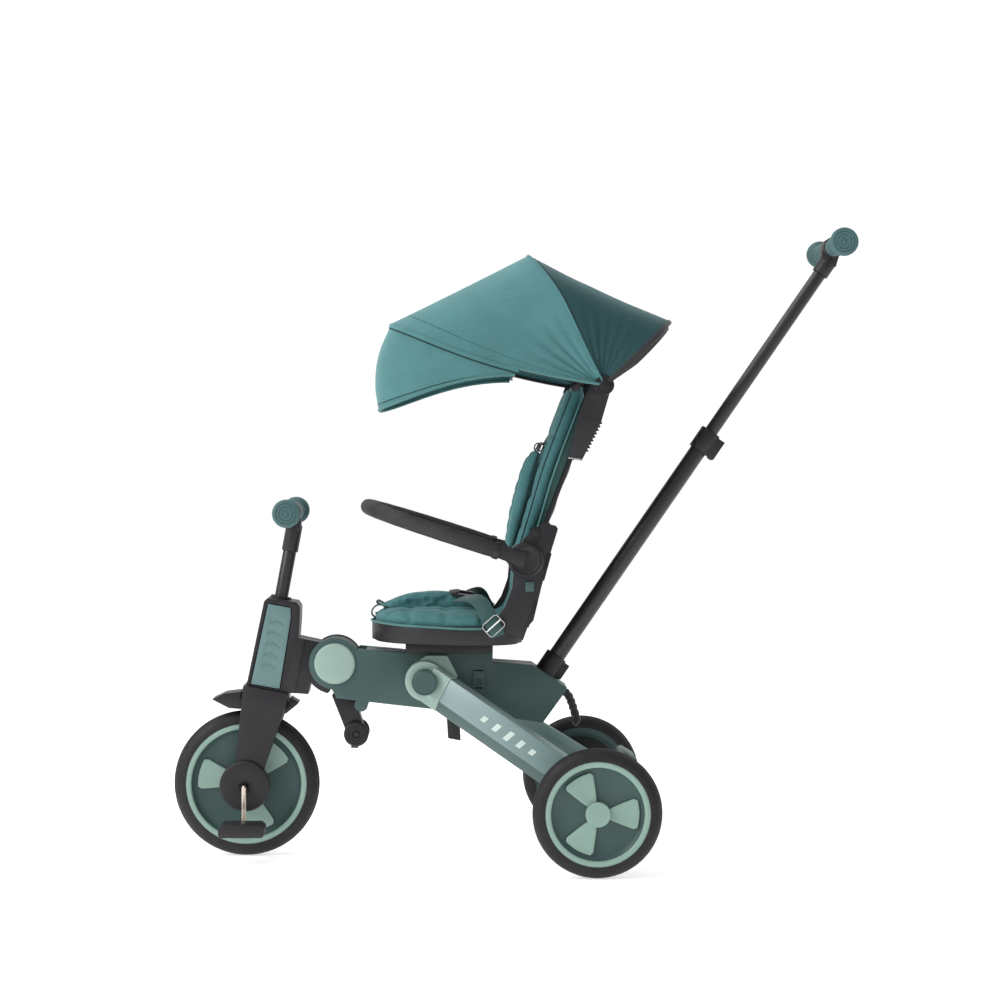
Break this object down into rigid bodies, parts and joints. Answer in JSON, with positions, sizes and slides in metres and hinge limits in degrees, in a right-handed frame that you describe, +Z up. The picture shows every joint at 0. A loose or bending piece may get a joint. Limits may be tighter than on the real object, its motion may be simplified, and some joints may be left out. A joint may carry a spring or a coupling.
{
  "type": "children's tricycle",
  "caption": "Folding ride-on tricycle with a swivelling padded seat, hooped safety bar, sun canopy, fold-down footrest and telescopic parent push bar.",
  "frame": {"origin": "on the ground, under the middle of the overall length and width", "axes": "-X is the riding direction, -Y the rider's left, +Z up"},
  "size_m": [1.1119, 0.482, 1.0275],
  "materials": {
    "green_plastic": "satin moulded",
    "mint_plastic": "satin moulded",
    "panel_plastic": "satin moulded",
    "black_plastic": "satin moulded",
    "steel": "turned",
    "black_tube": "satin powder coat",
    "chrome": "polished",
    "tyre": "matte",
    "grip_rubber": "matte",
    "foam": "fine foam",
    "leg_paint": "satin",
    "teal_fabric": "plain weave",
    "black_webbing": "webbing"
  },
  "bodies": {
    "frame": {"beam_shell_left": "green_plastic", "beam_shell_right": "green_plastic", "fold_pivot_caps": "mint_plastic", "pivot_pins": "steel", "swivel_base": "black_plastic", "leg_brackets": "mint_plastic", "push_bar_socket": "black_plastic", "push_tube_lower": "black_tube", "tube_clamp": "black_plastic", "webbing_loops": "black_webbing"},
    "latch": {"fold_latch": "green_plastic"},
    "front_frame": {"head_shell_left": "black_plastic", "head_shell_right": "black_plastic", "head_panels": "panel_plastic", "head_tube": "steel", "headset_bushes": "black_plastic"},
    "footrest": {"footrest_arm": "black_plastic", "footrest_peg": "black_plastic"},
    "steering": {"fork": "black_plastic", "mudguard": "black_plastic", "hub_covers": "black_plastic", "stem": "black_tube", "handlebar": "black_plastic", "handlebar_grips": "grip_rubber"},
    "front_wheel": {"front_tyre": "tyre", "front_rim": "green_plastic", "front_trim": "mint_plastic", "crank": "chrome"},
    "pedal_left": {"pedal_left": "black_plastic"},
    "pedal_right": {"pedal_right": "black_plastic"},
    "rear_frame": {"leg_left": "leg_paint", "leg_right": "leg_paint", "leg_knuckles": "mint_plastic", "leg_hub_caps": "green_plastic", "rear_axle_beam": "green_plastic", "rear_axle": "steel"},
    "brake": {"brake_pedal": "green_plastic"},
    "rear_wheel_left": {"rear_tyre_left": "tyre", "rear_rim_left": "green_plastic", "rear_trim_left": "mint_plastic"},
    "rear_wheel_right": {"rear_tyre_right": "tyre", "rear_rim_right": "green_plastic", "rear_trim_right": "mint_plastic"},
    "seat": {"seat_shell": "black_plastic", "seat_pad": "teal_fabric", "harness": "teal_fabric"},
    "seat_button_left": {"seat_button_left": "green_plastic"},
    "seat_button_right": {"seat_button_right": "green_plastic"},
    "safety_bar": {"safety_bar_foam": "foam", "safety_bar_ends": "black_plastic"},
    "backrest": {"backrest_frame": "black_plastic", "backrest_pad": "teal_fabric", "shoulder_pads": "teal_fabric"},
    "canopy_mount": {"canopy_bracket": "black_plastic", "canopy_rear": "teal_fabric"},
    "canopy_hood": {"canopy_front": "teal_fabric", "canopy_visor": "teal_fabric"},
    "push_bar": {"push_tube_upper": "black_tube", "push_handle": "black_plastic", "push_grips": "grip_rubber"}
  },
  "joints": [
    {"name": "front_fold", "type": "hinge", "parent": "frame", "child": "front_frame", "pos_m": [-0.289, 0, 0.32], "axis": [0, -1, 0], "range_deg": [0, 45]},
    {"name": "footrest_fold", "type": "hinge", "parent": "frame", "child": "footrest", "pos_m": [-0.246, 0, 0.252], "axis": [0, -1, 0], "range_deg": [0, 70]},
    {"name": "steering", "type": "hinge", "parent": "front_frame", "child": "steering", "pos_m": [-0.436, 0, 0.12], "axis": [0.1822, 0, 0.9833], "range_deg": [-40, 40]},
    {"name": "front_wheel_spin", "type": "hinge", "parent": "steering", "child": "front_wheel", "pos_m": [-0.436, 0, 0.12], "axis": [0, 1, 0], "continuous": true},
    {"name": "pedal_left_spin", "type": "hinge", "parent": "front_wheel", "child": "pedal_left", "pos_m": [-0.436, 0, 0.058], "axis": [0, 1, 0], "continuous": true},
    {"name": "pedal_right_spin", "type": "hinge", "parent": "front_wheel", "child": "pedal_right", "pos_m": [-0.436, 0, 0.182], "axis": [0, 1, 0], "continuous": true},
    {"name": "rear_leg_fold", "type": "hinge", "parent": "frame", "child": "rear_frame", "pos_m": [-0.141, 0, 0.295], "axis": [0, 1, 0], "range_deg": [0, 50]},
    {"name": "rear_wheel_left_spin", "type": "hinge", "parent": "rear_frame", "child": "rear_wheel_left", "pos_m": [0.13, 0, 0.102], "axis": [0, 1, 0], "continuous": true},
    {"name": "rear_wheel_right_spin", "type": "hinge", "parent": "rear_frame", "child": "rear_wheel_right", "pos_m": [0.13, 0, 0.102], "axis": [0, 1, 0], "continuous": true},
    {"name": "brake", "type": "hinge", "parent": "rear_frame", "child": "brake", "pos_m": [0.161, 0, 0.124], "axis": [0, 1, 0], "range_deg": [0, 20]},
    {"name": "seat_swivel", "type": "hinge", "parent": "frame", "child": "seat", "pos_m": [-0.105, 0, 0.357], "axis": [0, 0, 1], "continuous": true},
    {"name": "safety_bar_lift", "type": "hinge", "parent": "seat", "child": "safety_bar", "pos_m": [0.02, 0, 0.495], "axis": [0, 1, 0], "range_deg": [0, 55]},
    {"name": "backrest_upright", "type": "hinge", "parent": "seat", "child": "backrest", "pos_m": [0.02, 0, 0.495], "axis": [0, -1, 0], "range_deg": [0, 12]},
    {"name": "canopy_height", "type": "slide", "parent": "backrest", "child": "canopy_mount", "axis": [0.3567, 0, 0.9342], "range_m": [0, 0.04]},
    {"name": "canopy_fold", "type": "hinge", "parent": "canopy_mount", "child": "canopy_hood", "pos_m": [0.145, 0, 0.773], "axis": [0, 1, 0], "range_deg": [0, 45], "deforming": ["canopy_front"]},
    {"name": "push_bar_slide", "type": "slide", "parent": "frame", "child": "push_bar", "axis": [0.5674, 0, 0.8234], "range_m": [-0.25, 0]},
    {"name": "fold_latch_slide", "type": "slide", "parent": "frame", "child": "latch", "axis": [0, 0, -1], "range_m": [0, 0.007], "stiffness_N_per_m": 300, "springref_m": -0.002},
    {"name": "seat_button_left_press", "type": "slide", "parent": "seat", "child": "seat_button_left", "axis": [0, 1, 0], "range_m": [0, 0.003], "stiffness_N_per_m": 300, "springref_m": -0.002},
    {"name": "seat_button_right_press", "type": "slide", "parent": "seat", "child": "seat_button_right", "axis": [0, -1, 0], "range_m": [0, 0.003], "stiffness_N_per_m": 300, "springref_m": -0.002}
  ],
  "couplings": [
    {"joint": "footrest_fold", "follows": "front_fold", "ratio": 1.5556}
  ]
}
